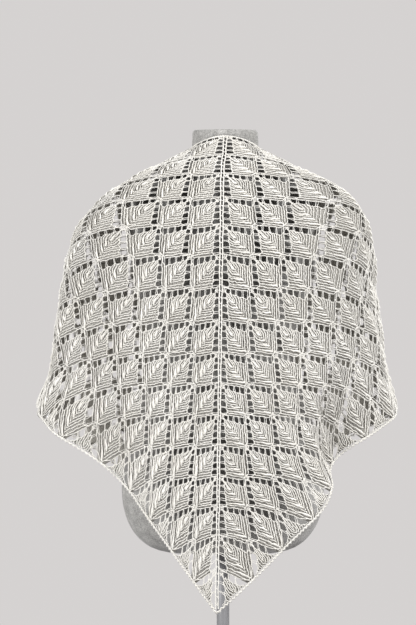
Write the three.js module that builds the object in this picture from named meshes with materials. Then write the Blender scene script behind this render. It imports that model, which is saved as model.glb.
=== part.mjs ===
import * as THREE from "three";

// A knitted triangular lace shawl laid over a plain dress form on a pole stand.
// Millimetres, +Z up, the floor at z = 0. The back of the shawl faces -Y and its left half lies at -X.
// A point of the flat cloth is (s, t): s leaf squares out from the spine, t squares down from the top edge.

// Cut of the cloth
const CELL = 52;
const CELLS_DEEP = 16;
const EDGE_GROWTH = 0.5;
const EDGE_START = 14;

// Wall and trim
const WALL = 1.6;
const LEAF_RISE = 1.5;
const SEAM = 0.3;
const SPINE_HALF = 3.9;
const SPINE_THICK = 3.2;
const BAND_WIDTH = 3.6;
const BAND_THICK = 2.6;
const CORD_RADIUS = 1.9;
const CORD_SIDES = 6;

// Lines that divide each leaf square; the first square of them is left open as the eyelet
const CELL_LINES = [0, 0.2, 0.6, 1];
const SPINE_START = (SPINE_HALF + 1.5 * SEAM) / CELL;
const BAND_START = (BAND_WIDTH + 3 * SEAM) / CELL;
const EYELET_SPAN = 0.2;

// Dress form and stand
const FORM_BOTTOM = 250;
const NECK_CENTRE = 4;
const NECK_SHIFT_FROM = 850;
const NECK_SHIFT_OVER = 100;
const FORM_SIDES = 40;
const POLE_RADIUS = 11;
const POLE_SIDES = 24;
const BASE_RADIUS = 170;
const BASE_HEIGHT = 12;
const BASE_BEVEL = 4;
const BASE_SIDES = 48;

// Neck ring that the top edge lies round
const RING_RADIUS = 59.5;
const RING_REACH = 2.2;
const FAN_APEX = 1.8;
const SIDE_ANGLE = (42 * Math.PI) / 180;
const RING_CELLS = FAN_APEX * Math.tan(SIDE_ANGLE);
const HOLD_CELLS = RING_CELLS * 1.04;
const FLAT_SHARE = 0.55;
const TURN_POWER = 2.2;
const DROOP_LEAST = 2;
const PULL_LEAST = 2;
const PULL_MOST = 8;
const SLOPE_LEAST = 0.85;
const SLOPE_MOST = 3;
const SPINE_LEAN = -0.7;

// How a fold fades in at its first end and out past its second, along its length
const FADE_IN = 2.2;
const FADE_FROM = 0.3;
const FADE_OUT = 2;
const FADE_END = 1.35;

// Steps, in squares, over which slopes of the cloth are taken
const FALL_STEP = 0.1;
const FACING_STEP = 0.02;

// Down the spine: height, depth behind the side line, and how far the columns of each half keep their width
const BACK = [
  { cell: 0, height: 978, depth: 59.5, keepLeft: 1.02, keepRight: 1.02 },
  { cell: 1, height: 944, depth: 88, keepLeft: 1.02, keepRight: 1.04 },
  { cell: 2, height: 911, depth: 110, keepLeft: 1.02, keepRight: 1.04 },
  { cell: 3, height: 869, depth: 126, keepLeft: 1.02, keepRight: 1.03 },
  { cell: 4, height: 822, depth: 136, keepLeft: 1.01, keepRight: 1.02 },
  { cell: 5, height: 771, depth: 141, keepLeft: 0.98, keepRight: 0.98 },
  { cell: 6, height: 714, depth: 143, keepLeft: 0.93, keepRight: 0.94 },
  { cell: 8, height: 601, depth: 142, keepLeft: 0.87, keepRight: 0.88 },
  { cell: 10, height: 495, depth: 142, keepLeft: 0.79, keepRight: 0.86 },
  { cell: 12, height: 388, depth: 144, keepLeft: 0.76, keepRight: 0.87 },
  { cell: 14, height: 285, depth: 145, keepLeft: 0.74, keepRight: 0.98 },
  { cell: 16.5, height: 156, depth: 146, keepLeft: 0.76, keepRight: 1.15 },
];

// Over each shoulder and down the side: reach from the middle and height
const SIDE = [
  { cell: 0, left: 59.5, right: 59.5, height: 957 },
  { cell: 1.5, left: 122, right: 128, height: 924 },
  { cell: 2.5, left: 169, right: 186, height: 899 },
  { cell: 3.4, left: 210, right: 226, height: 870 },
  { cell: 4.4, left: 247, right: 251, height: 829 },
  { cell: 5.5, left: 267, right: 259, height: 778 },
  { cell: 6.8, left: 281, right: 261, height: 712 },
  { cell: 8.2, left: 296, right: 273, height: 640 },
  { cell: 9.4, left: 300, right: 283, height: 578 },
  { cell: 10.5, left: 324, right: 302, height: 511 },
  { cell: 16.5, left: 370, right: 350, height: 230 },
];

// Down each front edge from the side of the neck: height, depth before the side line, place from the middle
const FRONT = [
  { cell: 0, height: 957, depth: 0, edge: 59.5 },
  { cell: 0.4, height: 950, depth: 19, edge: 60.5 },
  { cell: 1.2, height: 926, depth: 54, edge: 62 },
  { cell: 2.2, height: 887, depth: 88, edge: 61 },
  { cell: 3.2, height: 841, depth: 113, edge: 59 },
  { cell: 4.2, height: 792, depth: 127, edge: 56 },
  { cell: 5.2, height: 741, depth: 134, edge: 54 },
  { cell: 7.2, height: 638, depth: 136, edge: 52 },
  { cell: 10.2, height: 484, depth: 126, edge: 52 },
  { cell: 14.9, height: 244, depth: 117, edge: 56 },
];

// Soft folds, from one place of the cloth to another, raised or sunk by rise
const FOLDS = [
  { side: -1, s1: 4.6, t1: 4.2, s2: 6.9, t2: 8.4, half: 0.55, rise: 11 },
  { side: -1, s1: 5.6, t1: 4.6, s2: 7.9, t2: 7.9, half: 0.5, rise: -7 },
  { side: -1, s1: 3.4, t1: 8.0, s2: 4.1, t2: 12.0, half: 0.6, rise: 9 },
  { side: -1, s1: 4.7, t1: 8.0, s2: 5.6, t2: 10.6, half: 0.55, rise: -6 },
  { side: 1, s1: 3.4, t1: 8.6, s2: 4.0, t2: 12.1, half: 0.6, rise: 11 },
  { side: 1, s1: 4.5, t1: 8.2, s2: 5.3, t2: 10.9, half: 0.5, rise: -12 },
  { side: 1, s1: 5.6, t1: 6.4, s2: 7.0, t2: 9.0, half: 0.6, rise: 9 },
  { side: 1, s1: 5.0, t1: 3.4, s2: 6.8, t2: 6.6, half: 0.5, rise: 5 },
];

// Places where the hanging edge swings out or in, and how far it moves along X and Y
const SWINGS = [
  { side: -1, s: 6.2, t: 9.9, half: 1.2, across: 26, ahead: 4 },
  { side: -1, s: 4.2, t: 11.8, half: 1.1, across: -8, ahead: 0 },
  { side: -1, s: 12.6, t: 3.4, half: 2.2, across: -34, ahead: 0 },
  { side: 1, s: 5.2, t: 11.0, half: 1.5, across: -38, ahead: 22 },
  { side: 1, s: 12.0, t: 4.0, half: 2.4, across: -66, ahead: 0 },
  { side: 1, s: 3.6, t: 12.6, half: 1.3, across: 14, ahead: 0 },
];

// Folds of the two fronts, alike on both sides but for their depth
const FRONT_FOLDS = [
  { s1: 6.6, t1: 1.1, s2: 14.0, t2: 2.2, half: 0.55, left: 12, right: 10 },
  { s1: 6.8, t1: 2.5, s2: 12.4, t2: 3.9, half: 0.55, left: -9, right: -11 },
  { s1: 6.6, t1: 3.7, s2: 10.9, t2: 5.4, half: 0.6, left: 13, right: 14 },
  { s1: 7.0, t1: 5.3, s2: 9.6, t2: 6.7, half: 0.5, left: -8, right: -7 },
];

// Sections of the dress form, from its underside to the top of the neck
const FORM = [
  { height: 250, wide: 92, back: 62, front: 60, square: 2.1 },
  { height: 258, wide: 122, back: 84, front: 80, square: 2.1 },
  { height: 280, wide: 151, back: 105, front: 98, square: 2.15 },
  { height: 315, wide: 170, back: 118, front: 107, square: 2.2 },
  { height: 360, wide: 177, back: 125, front: 111, square: 2.2 },
  { height: 420, wide: 172, back: 126, front: 110, square: 2.2 },
  { height: 500, wide: 150, back: 112, front: 102, square: 2.2 },
  { height: 590, wide: 125, back: 96, front: 95, square: 2.2 },
  { height: 670, wide: 138, back: 108, front: 106, square: 2.2 },
  { height: 745, wide: 158, back: 122, front: 116, square: 2.3 },
  { height: 810, wide: 168, back: 122, front: 106, square: 2.3 },
  { height: 850, wide: 168, back: 114, front: 88, square: 2.3 },
  { height: 880, wide: 152, back: 101, front: 70, square: 2.3 },
  { height: 905, wide: 124, back: 87, front: 54, square: 2.2 },
  { height: 925, wide: 92, back: 74, front: 47, square: 2.1 },
  { height: 938, wide: 65, back: 62, front: 46, square: 2 },
  { height: 950, wide: 58, back: 58, front: 52, square: 2 },
  { height: 962, wide: 58, back: 58, front: 56, square: 2 },
  { height: 990, wide: 57, back: 57, front: 56, square: 2 },
];

// Colours and finishes
const YARN = { color: 0xece8df, roughness: 0.85, metalness: 0 };
const FELT = { color: 0xa6a5a4, roughness: 0.95, metalness: 0 };
const ENAMEL = { color: 0x8f9092, roughness: 0.4, metalness: 0.7 };

// Reads one column of a table at any place, on a smooth curve through its rows
function reader(table, column) {
  const last = table.length - 1;
  const slopes = table.map((row, k) => {
    const before = table[Math.max(k - 1, 0)];
    const after = table[Math.min(k + 1, last)];
    return (after[column] - before[column]) / (after.cell - before.cell);
  });
  return (place) => {
    if (place <= table[0].cell) return table[0][column] + slopes[0] * (place - table[0].cell);
    if (place >= table[last].cell) return table[last][column] + slopes[last] * (place - table[last].cell);
    let k = 0;
    while (table[k + 1].cell < place) k += 1;
    const span = table[k + 1].cell - table[k].cell;
    const u = (place - table[k].cell) / span;
    const rise = u * u * (3 - 2 * u);
    const start = u * (1 - u) * (1 - u) * span * slopes[k];
    const end = u * u * (u - 1) * span * slopes[k + 1];
    return table[k][column] * (1 - rise) + table[k + 1][column] * rise + start + end;
  };
}

const backHeight = reader(BACK, "height");
const backDepth = reader(BACK, "depth");
const backKeep = { [-1]: reader(BACK, "keepLeft"), [1]: reader(BACK, "keepRight") };
const sideHeight = reader(SIDE, "height");
const sideReach = { [-1]: reader(SIDE, "left"), [1]: reader(SIDE, "right") };
const frontHeight = reader(FRONT, "height");
const frontDepth = reader(FRONT, "depth");
const frontEdge = reader(FRONT, "edge");

function clamp(value, low, high) {
  return Math.min(Math.max(value, low), high);
}

function smooth(u) {
  const x = clamp(u, 0, 1);
  return x * x * (3 - 2 * x);
}

// Share of the side's reach: even over the flat back, then rounding off at the side
function reachShare(v, slope) {
  const x = Math.min(v, 1);
  if (x < FLAT_SHARE) return slope * x;
  const span = 1 - FLAT_SHARE;
  const u = (x - FLAT_SHARE) / span;
  const rise = u * u * (3 - 2 * u);
  return slope * FLAT_SHARE * (1 - rise) + rise + u * (1 - u) * (1 - u) * span * slope;
}

function depthShare(v) {
  return Math.cos((Math.PI / 2) * Math.min(v, 1) ** TURN_POWER);
}

// The neck's ring at a place along the top edge, and how it tilts down to the front
function neckRing(place) {
  const turn = (Math.PI / 2) * (Math.min(place, HOLD_CELLS) / RING_CELLS);
  const height = backHeight(0) + (frontHeight(0) - backHeight(0)) * Math.sin(turn) ** 2;
  return new THREE.Vector3(RING_RADIUS * Math.sin(turn), -RING_RADIUS * Math.cos(turn), height);
}

// The cloth as a fan of lines from above the neck: angle from the spine, distance from the fan's apex
function fanSurface(side, angle, distance) {
  const s = distance * Math.sin(angle);
  const t = distance * Math.cos(angle) - FAN_APEX;
  const length = distance - FAN_APEX / Math.cos(SIDE_ANGLE);
  const reach = sideReach[side](Math.max(length, 0));
  const sideLevel = Math.max(distance * Math.cos(SIDE_ANGLE) - FAN_APEX, 0);
  if (angle <= SIDE_ANGLE) {
    const v = Math.sin(angle) / Math.sin(SIDE_ANGLE);
    const slope = (backKeep[side](t) * CELL * distance * Math.sin(SIDE_ANGLE)) / reach;
    const droop = Math.max(backHeight(sideLevel) - sideHeight(Math.max(length, 0)), DROOP_LEAST);
    const fall = (backHeight(sideLevel) - backHeight(sideLevel + FALL_STEP)) / FALL_STEP;
    const pull = (fall * distance * Math.sin(SIDE_ANGLE) * Math.tan(SIDE_ANGLE)) / droop;
    const x = reach * reachShare(v, clamp(slope, SLOPE_LEAST, SLOPE_MOST));
    const z = backHeight(t) - droop * v ** clamp(pull, PULL_LEAST, PULL_MOST);
    return new THREE.Vector3(x, -backDepth(t) * depthShare(v), z);
  }
  const v = sideLevel > 0 ? clamp(t / sideLevel, 0, 1) : 0;
  const place = s - RING_CELLS;
  const edge = frontEdge(place);
  const sidePlace = Math.max(distance * Math.sin(SIDE_ANGLE) - RING_CELLS, 0);
  const slope = (CELL * sideLevel) / Math.max(reach - edge, 1);
  const droop = Math.max(frontHeight(sidePlace) - sideHeight(length), DROOP_LEAST);
  const fall = (frontHeight(sidePlace) - frontHeight(sidePlace + FALL_STEP)) / FALL_STEP;
  const pull = (fall * sideLevel) / Math.tan(SIDE_ANGLE) / droop;
  const x = edge + (reach - edge) * reachShare(v, clamp(slope, SLOPE_LEAST, SLOPE_MOST));
  const z = frontHeight(place) - droop * v ** clamp(pull, PULL_LEAST, PULL_MOST);
  return new THREE.Vector3(x, frontDepth(place) * depthShare(v), z);
}

// How high the folds of a table lift the cloth at a point
function foldRise(side, s, t) {
  let total = 0;
  const add = (fold, rise) => {
    const ds = fold.s2 - fold.s1;
    const dt = fold.t2 - fold.t1;
    const along = ((s - fold.s1) * ds + (t - fold.t1) * dt) / (ds * ds + dt * dt);
    const across = ((s - fold.s1) * dt - (t - fold.t1) * ds) / Math.hypot(ds, dt);
    const fade = smooth(along * FADE_IN + FADE_FROM) * smooth((FADE_END - along) * FADE_OUT);
    total += rise * fade * Math.exp(-((across / fold.half) ** 2));
  };
  FOLDS.filter((fold) => fold.side === side).forEach((fold) => add(fold, fold.rise));
  FRONT_FOLDS.forEach((fold) => add(fold, side < 0 ? fold.left : fold.right));
  return total;
}

// Where a point of the cloth lies once it is draped, before the folds
function drapedPlain(side, s0, t0) {
  const sum = s0 + t0;
  const past = Math.max(sum - EDGE_START, 0) / (CELLS_DEEP - EDGE_START);
  const grow = 1 + (EDGE_GROWTH * past * past) / Math.max(sum, 1);
  const s = s0 * grow;
  const t = t0 * grow;
  const angle = Math.atan2(s, t + FAN_APEX);
  const point = fanSurface(side, angle, Math.hypot(s, t + FAN_APEX));
  const foot = FAN_APEX * Math.tan(angle);
  const hold = Math.min(foot, HOLD_CELLS);
  const seat = fanSurface(side, Math.atan2(hold, FAN_APEX), Math.hypot(hold, FAN_APEX));
  const below = Math.hypot(s, t + FAN_APEX) - Math.hypot(foot, FAN_APEX);
  const near = (1 - smooth(below / RING_REACH)) * (1 - smooth((foot - HOLD_CELLS) / RING_REACH));
  point.addScaledVector(neckRing(hold).sub(seat), near);
  SWINGS.filter((swing) => swing.side === side).forEach((swing) => {
    const share = Math.exp(-(((s0 - swing.s) ** 2 + (t0 - swing.t) ** 2) / swing.half ** 2));
    point.x += swing.across * share;
    point.y += swing.ahead * share;
  });
  const lean = SPINE_LEAN * t * (1 - smooth(angle / SIDE_ANGLE));
  return new THREE.Vector3(side * point.x + lean + NECK_CENTRE * near, point.y, point.z);
}

function facing(place, side, s, t) {
  const out = place(side, s + FACING_STEP, t).sub(place(side, Math.max(s - FACING_STEP, 0), t));
  const down = place(side, s, t + FACING_STEP).sub(place(side, s, Math.max(t - FACING_STEP, 0)));
  return out.cross(down).multiplyScalar(-side).normalize();
}

function draped(side, s, t) {
  const point = drapedPlain(side, s, t);
  const rise = foldRise(side, s, t);
  return point.addScaledVector(facing(drapedPlain, side, s, t), rise);
}

// A point of the cloth, moved out from its inner face
function onCloth(side, s, t, out) {
  return draped(side, s, t).addScaledVector(facing(draped, side, s, t), out);
}

function solid(name, points, faces, finish) {
  const shape = new THREE.BufferGeometry();
  shape.setAttribute("position", new THREE.Float32BufferAttribute(points.flatMap((p) => [p.x, p.y, p.z]), 3));
  shape.setIndex(faces.flat());
  shape.computeVertexNormals();
  const mesh = new THREE.Mesh(shape, new THREE.MeshStandardMaterial(finish));
  mesh.name = name;
  return mesh;
}

// Lines across one square, the first of them moved off the spine or the neck edge
function linesFrom(start) {
  if (start === 0) return CELL_LINES;
  return [start, start + EYELET_SPAN, ...CELL_LINES.slice(2)];
}

// A point of one leaf square; squares on the lower edge are halved along it
function squarePoint(i, j, a, b, top) {
  const onEdge = i + j === CELLS_DEEP - 1;
  return { s: i + a, t: onEdge ? j + top + (b - top) * (1 - a) : j + b };
}

// One half of the shawl: a wall with a plain inner face, raised leaves and an open eyelet in each square
function wing(name, side) {
  const outer = [];
  const inner = [];
  const known = new Map();
  const vertex = (i, j, a, b, top) => {
    const { s, t } = squarePoint(i, j, a, b, top);
    const key = `${s.toFixed(4)},${t.toFixed(4)}`;
    if (!known.has(key)) {
      const rise = LEAF_RISE * Math.sin(Math.PI * a) * Math.sin(Math.PI * b);
      known.set(key, outer.length);
      outer.push(onCloth(side, s, t, WALL + Math.max(rise, 0)));
      inner.push(onCloth(side, s, t, 0));
    }
    return known.get(key);
  };

  const skin = [];
  const addFace = (a, b, c) => {
    if (a === b || b === c || a === c) return;
    skin.push(side < 0 ? [a, b, c] : [a, c, b]);
  };
  for (let i = 0; i < CELLS_DEEP; i += 1) {
    for (let j = 0; i + j < CELLS_DEEP; j += 1) {
      const left = i === 0 ? SPINE_START : 0;
      const top = j === 0 ? BAND_START : 0;
      const across = linesFrom(left);
      const down = linesFrom(top);
      for (let p = 0; p + 1 < across.length; p += 1) {
        for (let q = 0; q + 1 < down.length; q += 1) {
          const isEyelet = p === 0 && q === 0;
          if (!isEyelet) {
            const a = vertex(i, j, across[p], down[q], top);
            const b = vertex(i, j, across[p + 1], down[q], top);
            const c = vertex(i, j, across[p + 1], down[q + 1], top);
            const d = vertex(i, j, across[p], down[q + 1], top);
            addFace(a, b, c);
            addFace(a, c, d);
          }
        }
      }
    }
  }

  const count = outer.length;
  const edges = new Set();
  skin.forEach(([a, b, c]) => [[a, b], [b, c], [c, a]].forEach(([p, q]) => edges.add(`${p},${q}`)));
  const faces = [...skin, ...skin.map(([a, b, c]) => [a + count, c + count, b + count])];
  edges.forEach((edge) => {
    const [p, q] = edge.split(",").map(Number);
    if (edges.has(`${q},${p}`)) return;
    faces.push([q, p, p + count], [q, p + count, q + count]);
  });
  return solid(name, [...outer, ...inner], faces, YARN);
}

// A closed strip through rings of points, each ring in the same order
function strip(name, rings, finish) {
  const sides = rings[0].length;
  const faces = [];
  for (let k = 0; k + 1 < rings.length; k += 1) {
    for (let m = 0; m < sides; m += 1) {
      const a = k * sides + m;
      const b = k * sides + ((m + 1) % sides);
      faces.push([a, b, b + sides], [a, b + sides, a + sides]);
    }
  }
  const end = (rings.length - 1) * sides;
  for (let m = 1; m + 1 < sides; m += 1) {
    faces.push([0, m + 1, m], [end, end + m, end + m + 1]);
  }
  return solid(name, rings.flat(), faces, finish);
}

// Places along a run of squares, at every line of every square
function stations(count) {
  const places = [];
  for (let k = 0; k < count; k += 1) CELL_LINES.slice(0, -1).forEach((line) => places.push(k + line));
  return [...places, count];
}

// The twin-strand rib up the middle of the back
function centreSpine() {
  const half = SPINE_HALF / CELL;
  const endGap = (CORD_RADIUS + 3 * SEAM) / CELL;
  const rings = stations(CELLS_DEEP).map((place) => {
    const t = Math.min(Math.max(place, BAND_START), CELLS_DEEP - endGap);
    return [
      onCloth(-1, half, t, 0),
      onCloth(1, half, t, 0),
      onCloth(1, half, t, WALL),
      onCloth(1, half / 2, t, SPINE_THICK),
      onCloth(-1, half / 2, t, SPINE_THICK),
      onCloth(-1, half, t, WALL),
    ];
  });
  return strip("centre_spine", rings, YARN);
}

// The cast-on band round the neck and down both front edges
function neckEdge() {
  const width = BAND_WIDTH / CELL;
  const endAt = CELLS_DEEP - (CORD_RADIUS * 2) / CELL;
  const places = stations(CELLS_DEEP).map((place) => Math.min(place, endAt));
  const ring = (side, s) => [
    onCloth(side, s, 0, 0),
    onCloth(side, s, 0, BAND_THICK),
    onCloth(side, s, width, BAND_THICK),
    onCloth(side, s, width, 0),
  ];
  const leftRings = places.slice(1).reverse().map((s) => ring(-1, s));
  const rightRings = places.map((s) => ring(1, s));
  return strip("neck_edge", [...leftRings, ...rightRings], YARN);
}

// The rounded bind-off cord, from one front point round the back point to the other
function lowerEdge() {
  const run = (side) => {
    const points = [];
    for (let i = 0; i < CELLS_DEEP; i += 1) {
      const top = i === CELLS_DEEP - 1 ? BAND_START : 0;
      CELL_LINES.slice(i === 0 ? 1 : 0, -1).forEach((a) => {
        const { s, t } = squarePoint(i, CELLS_DEEP - 1 - i, a, 1, top);
        points.push({ side, s, t });
      });
    }
    points.push({ side, s: CELLS_DEEP, t: BAND_START });
    return points;
  };
  const reach = (CORD_RADIUS + SEAM) / CELL / Math.SQRT2;
  const centre = ({ side, s, t }) => onCloth(side, s + reach, t + reach, WALL / 2);
  const tip = { side: -1, s: 0, t: CELLS_DEEP };
  const path = [...run(-1).reverse(), tip, ...run(1)];
  const point = onCloth(-1, 0, tip.t + 2 * reach, WALL / 2);
  const centres = path.map((place) => (place === tip ? point : centre(place)));
  const rings = centres.map((middle, k) => {
    const before = centres[Math.max(k - 1, 0)];
    const after = centres[Math.min(k + 1, centres.length - 1)];
    const along = after.clone().sub(before).normalize();
    const face = facing(draped, path[k].side, path[k].s, path[k].t);
    const across = face.clone().cross(along).normalize();
    const up = along.clone().cross(across).normalize();
    return Array.from({ length: CORD_SIDES }, (_, m) => {
      const turn = (2 * Math.PI * m) / CORD_SIDES;
      return middle
        .clone()
        .addScaledVector(across, CORD_RADIUS * Math.cos(turn))
        .addScaledVector(up, CORD_RADIUS * Math.sin(turn));
    });
  });
  return strip("lower_edge", rings, YARN);
}

// The limbless torso with its neck, one smooth closed body
function dressForm() {
  const rings = FORM.map((row) =>
    Array.from({ length: FORM_SIDES }, (_, k) => {
      const turn = (2 * Math.PI * k) / FORM_SIDES;
      const power = 2 / row.square;
      const across = Math.sign(Math.cos(turn)) * Math.abs(Math.cos(turn)) ** power;
      const depth = Math.sign(Math.sin(turn)) * Math.abs(Math.sin(turn)) ** power;
      const deep = depth < 0 ? row.back : row.front;
      const shift = NECK_CENTRE * smooth((row.height - NECK_SHIFT_FROM) / NECK_SHIFT_OVER);
      return new THREE.Vector3(row.wide * across + shift, deep * depth, row.height);
    }),
  );
  return strip("dress_form", rings, FELT);
}

function standPole() {
  const length = FORM_BOTTOM - BASE_HEIGHT - 2 * SEAM;
  const shape = new THREE.CylinderGeometry(POLE_RADIUS, POLE_RADIUS, length, POLE_SIDES);
  const mesh = new THREE.Mesh(shape, new THREE.MeshStandardMaterial(ENAMEL));
  mesh.name = "stand_pole";
  mesh.rotation.x = Math.PI / 2;
  mesh.position.z = BASE_HEIGHT + SEAM + length / 2;
  return mesh;
}

function standBase() {
  const profile = [
    new THREE.Vector2(0, 0),
    new THREE.Vector2(BASE_RADIUS, 0),
    new THREE.Vector2(BASE_RADIUS, BASE_HEIGHT - BASE_BEVEL),
    new THREE.Vector2(BASE_RADIUS - BASE_BEVEL, BASE_HEIGHT),
    new THREE.Vector2(0, BASE_HEIGHT),
  ];
  const shape = new THREE.LatheGeometry(profile, BASE_SIDES);
  const mesh = new THREE.Mesh(shape, new THREE.MeshStandardMaterial(ENAMEL));
  mesh.name = "stand_base";
  mesh.rotation.x = Math.PI / 2;
  return mesh;
}

const shawlOnForm = new THREE.Group();
shawlOnForm.add(
  wing("wing_left", -1),
  wing("wing_right", 1),
  centreSpine(),
  neckEdge(),
  lowerEdge(),
  dressForm(),
  standPole(),
  standBase(),
);

export default shawlOnForm;
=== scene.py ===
"""A knitted triangular lace shawl, laid over a plain dress form on a pole stand."""
import math

import bpy
import numpy as np
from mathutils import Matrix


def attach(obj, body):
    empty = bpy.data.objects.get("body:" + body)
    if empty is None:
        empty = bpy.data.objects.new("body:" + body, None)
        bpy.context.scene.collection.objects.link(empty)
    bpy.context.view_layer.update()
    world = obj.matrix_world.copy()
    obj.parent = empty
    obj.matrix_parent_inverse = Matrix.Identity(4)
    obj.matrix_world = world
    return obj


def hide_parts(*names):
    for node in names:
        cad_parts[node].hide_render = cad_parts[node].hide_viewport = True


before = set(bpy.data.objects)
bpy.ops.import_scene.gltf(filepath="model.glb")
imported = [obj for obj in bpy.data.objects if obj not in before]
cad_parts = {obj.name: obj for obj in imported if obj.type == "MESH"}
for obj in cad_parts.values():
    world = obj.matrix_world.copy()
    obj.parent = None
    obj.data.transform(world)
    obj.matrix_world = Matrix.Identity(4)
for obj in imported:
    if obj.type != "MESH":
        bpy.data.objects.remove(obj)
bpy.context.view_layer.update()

# The cloth is worked out in millimetres. A point of it is (s, t): s leaf squares out from the
# spine and t squares down from the top edge. Side is -1 for the left half and 1 for the right.
MM = 0.001
CELL = 52.0
CELLS_DEEP = 16
EDGE_GROWTH = 0.5
EDGE_START = 14.0
SEED = 7

# The drape, with the same values as the solids
RING_RADIUS = 59.5
RING_REACH = 2.2
FAN_APEX = 1.8
SIDE_ANGLE = math.radians(42)
RING_CELLS = FAN_APEX * math.tan(SIDE_ANGLE)
HOLD_CELLS = RING_CELLS * 1.04
FLAT_SHARE = 0.55
TURN_POWER = 2.2
DROOP_LEAST = 2.0
PULL_LEAST, PULL_MOST = 2.0, 8.0
SLOPE_LEAST, SLOPE_MOST = 0.85, 3.0
SPINE_LEAN = -0.7
NECK_CENTRE = 4.0
WALL = 1.6
LEAF_RISE = 1.5
SPINE_HALF = 3.9
BAND_WIDTH = 3.6
FALL_STEP = 0.1
FACING_STEP = 0.02

# How fast a fold rises at its first end and sinks at its second, and where
FADE_IN, FADE_FROM = 2.2, 0.3
FADE_OUT, FADE_END = 2.0, 1.35

# Radius of each strand of yarn
WALE = 0.84
AXIS_STROKE = 1.9
LADDER = 0.42
GRID_STRAND = 0.8
RIM = 0.7
BAR = 0.54
SPINE_RAIL = 1.05
SPINE_BAR = 0.7
NECK_PLY = 1.05
BIND_PLY = 0.95
BIND_FILLING = 1.1

# Height of each strand over the rise of its leaf
WALE_OUT = 0.3
UNDER_WALE_OUT = -0.1
STROKE_OUT = 1.2
LADDER_OUT = -0.8
GRID_OUT = 0.5
RIM_OUT = 0.1
BAR_OUT = 0.15
SPINE_OUT = 2.0
NECK_OUT = 1.3
BIND_OUT = 0.8

# How loosely it is knitted: shift of a whole strand and of each stitch in squares, height of a
# stitch in millimetres, and its thickness as a share
LOOSE_STRAND = 0.006
LOOSE_STITCH = 0.008
LOOSE_HEIGHT = 0.15
STITCH_THICK = (0.82, 1.15)


def table(names, *rows):
    """Names the columns of a few rows of numbers."""
    return dict(zip(names.split(), np.array(rows, float).T))


# A column called "at" says where its row lies: squares out or down, or on the form its height.
# Down the spine: height, depth behind the side line, and how far the columns keep their width
BACK = table(
    "at height depth keep_left keep_right",
    (0, 978, 59.5, 1.02, 1.02),
    (1, 944, 88, 1.02, 1.04),
    (2, 911, 110, 1.02, 1.04),
    (3, 869, 126, 1.02, 1.03),
    (4, 822, 136, 1.01, 1.02),
    (5, 771, 141, 0.98, 0.98),
    (6, 714, 143, 0.93, 0.94),
    (8, 601, 142, 0.87, 0.88),
    (10, 495, 142, 0.79, 0.86),
    (12, 388, 144, 0.76, 0.87),
    (14, 285, 145, 0.74, 0.98),
    (16.5, 156, 146, 0.76, 1.15),
)

# Over each shoulder and down the side: reach from the middle and height
SIDE = table(
    "at left right height",
    (0, 59.5, 59.5, 957),
    (1.5, 122, 128, 924),
    (2.5, 169, 186, 899),
    (3.4, 210, 226, 870),
    (4.4, 247, 251, 829),
    (5.5, 267, 259, 778),
    (6.8, 281, 261, 712),
    (8.2, 296, 273, 640),
    (9.4, 300, 283, 578),
    (10.5, 324, 302, 511),
    (16.5, 370, 350, 230),
)

# Down each front edge: height, depth before the side line, distance from the middle
FRONT = table(
    "at height depth edge",
    (0, 957, 0, 59.5),
    (0.4, 950, 19, 60.5),
    (1.2, 926, 54, 62),
    (2.2, 887, 88, 61),
    (3.2, 841, 113, 59),
    (4.2, 792, 127, 56),
    (5.2, 741, 134, 54),
    (7.2, 638, 136, 52),
    (10.2, 484, 126, 52),
    (14.9, 244, 117, 56),
)

# Soft folds from one place of the cloth to another: half width in squares, rise on each half
FOLDS = table(
    "s1 t1 s2 t2 half left right",
    (4.6, 4.2, 6.9, 8.4, 0.55, 11, 0),
    (5.6, 4.6, 7.9, 7.9, 0.5, -7, 0),
    (3.4, 8.0, 4.1, 12.0, 0.6, 9, 0),
    (4.7, 8.0, 5.6, 10.6, 0.55, -6, 0),
    (3.4, 8.6, 4.0, 12.1, 0.6, 0, 11),
    (4.5, 8.2, 5.3, 10.9, 0.5, 0, -12),
    (5.6, 6.4, 7.0, 9.0, 0.6, 0, 9),
    (5.0, 3.4, 6.8, 6.6, 0.5, 0, 5),
    (6.6, 1.1, 14.0, 2.2, 0.55, 12, 10),
    (6.8, 2.5, 12.4, 3.9, 0.55, -9, -11),
    (6.6, 3.7, 10.9, 5.4, 0.6, 13, 14),
    (7.0, 5.3, 9.6, 6.7, 0.5, -8, -7),
)

# Places where the hanging edge swings out or in, along X and along Y
SWINGS = table(
    "side s t half across ahead",
    (-1, 6.2, 9.9, 1.2, 26, 4),
    (-1, 4.2, 11.8, 1.1, -8, 0),
    (-1, 12.6, 3.4, 2.2, -34, 0),
    (1, 5.2, 11.0, 1.5, -38, 22),
    (1, 12.0, 4.0, 2.4, -66, 0),
    (1, 3.6, 12.6, 1.3, 14, 0),
)

# Sections of the dress form, from its underside to the top of the neck
FORM = table(
    "at wide back front square",
    (250, 92, 62, 60, 2.1),
    (258, 122, 84, 80, 2.1),
    (280, 151, 105, 98, 2.15),
    (315, 170, 118, 107, 2.2),
    (360, 177, 125, 111, 2.2),
    (420, 172, 126, 110, 2.2),
    (500, 150, 112, 102, 2.2),
    (590, 125, 96, 95, 2.2),
    (670, 138, 108, 106, 2.2),
    (745, 158, 122, 116, 2.3),
    (810, 168, 122, 106, 2.3),
    (850, 168, 114, 88, 2.3),
    (880, 152, 101, 70, 2.3),
    (905, 124, 87, 54, 2.2),
    (925, 92, 74, 47, 2.1),
    (938, 65, 62, 46, 2),
    (950, 58, 58, 52, 2),
    (962, 58, 58, 56, 2),
    (990, 57, 57, 56, 2),
)


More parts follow.
